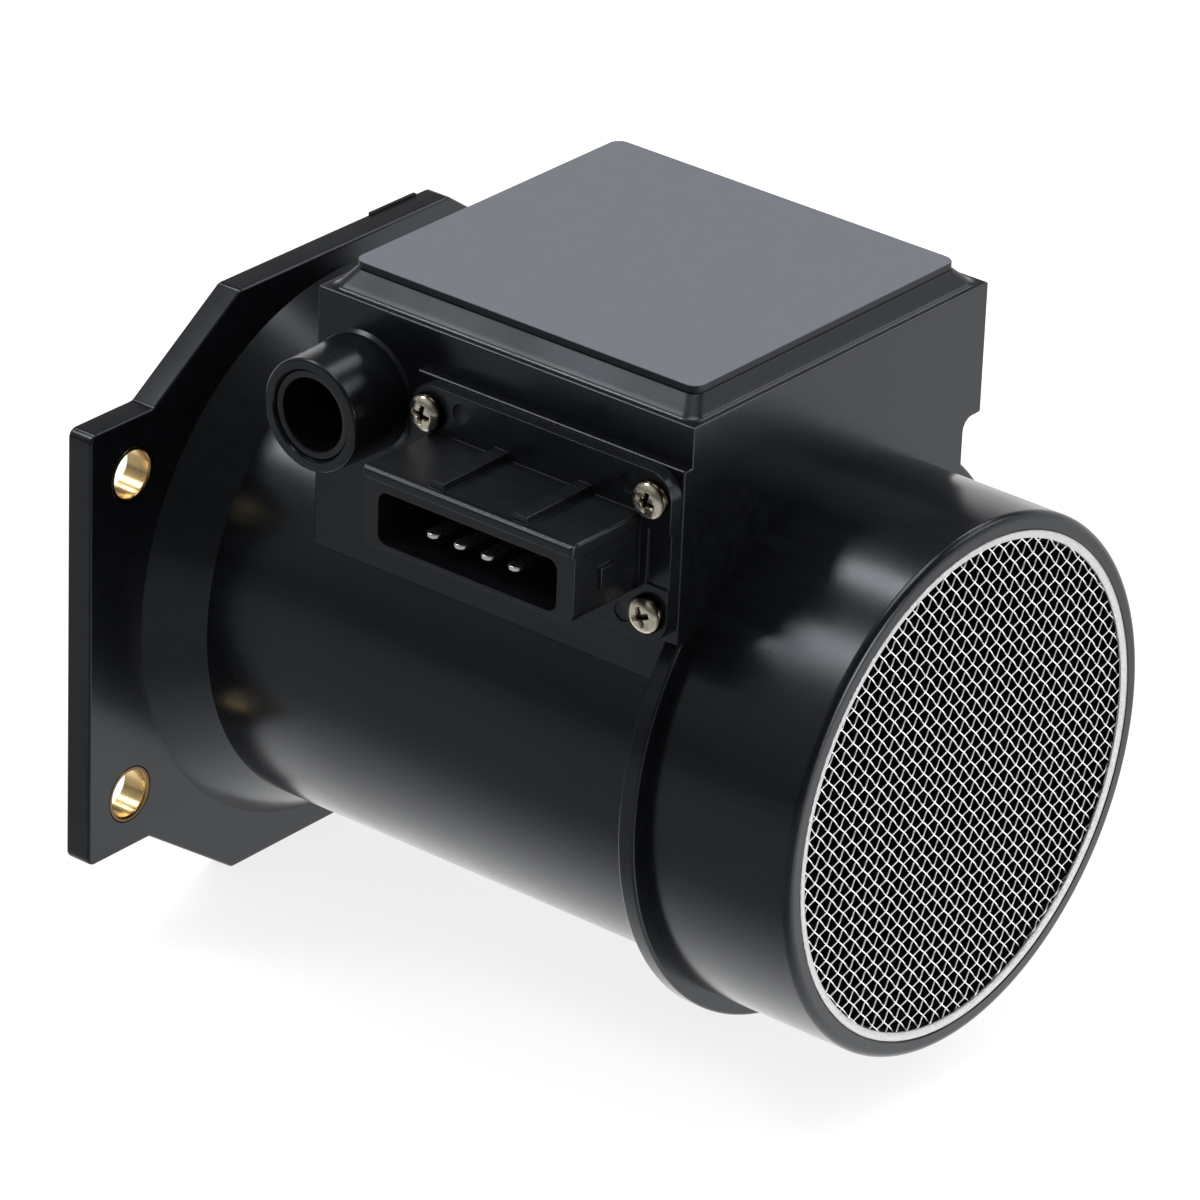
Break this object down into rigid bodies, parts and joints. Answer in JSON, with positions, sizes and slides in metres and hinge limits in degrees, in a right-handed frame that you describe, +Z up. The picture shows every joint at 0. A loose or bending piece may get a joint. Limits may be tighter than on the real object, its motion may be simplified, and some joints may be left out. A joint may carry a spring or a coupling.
{
  "type": "mass airflow sensor",
  "caption": "Round air duct with a bolt flange, a wire-guarded hose collar and an electronics box that carries a blade socket and a stub tube.",
  "frame": {"origin": "middle of the bolt pattern on the flange's rear face, on the duct's axis", "axes": "+X along the duct towards the hose end, -Y the connector side, +Z up through the electronics box"},
  "size_m": [0.127, 0.1146, 0.1152],
  "materials": {
    "black_plastic": "satin black moulding",
    "connector_plastic": "satin black moulding",
    "cover_plastic": "matte dark grey",
    "black_rubber": "matte black",
    "brass": "bright turned",
    "screen_steel": "bright wire",
    "screw_steel": "nickel plated",
    "terminal_tin": "tin plated",
    "aluminium": "plain",
    "board_green": "solder resist",
    "chip_plastic": "matte black",
    "ceramic": "plain"
  },
  "bodies": {
    "root": {"main_housing": "black_plastic", "flange_bushes": "brass", "top_cover": "cover_plastic", "cover_sealant": "black_rubber", "screen_mesh": "screen_steel", "screen_ring": "screen_steel", "stub_sleeve": "black_plastic", "stub_plug": "black_rubber", "trimmer_pot": "chip_plastic", "connector_body": "connector_plastic", "connector_gasket": "black_rubber", "plate_screws": "screw_steel", "blade_terminals": "terminal_tin", "circuit_board": "board_green", "board_screws": "screw_steel", "base_plate": "aluminium", "control_chip": "chip_plastic", "power_transistor": "chip_plastic", "chip_capacitors": "ceramic", "chip_resistors": "chip_plastic", "filter_capacitors": "aluminium", "sensor_leads": "terminal_tin", "sensor_holder": "connector_plastic", "holder_o_ring": "black_rubber", "holder_screws": "screw_steel", "sensor_prongs": "terminal_tin", "hot_element": "ceramic", "cold_element": "ceramic"}
  },
  "joints": []
}
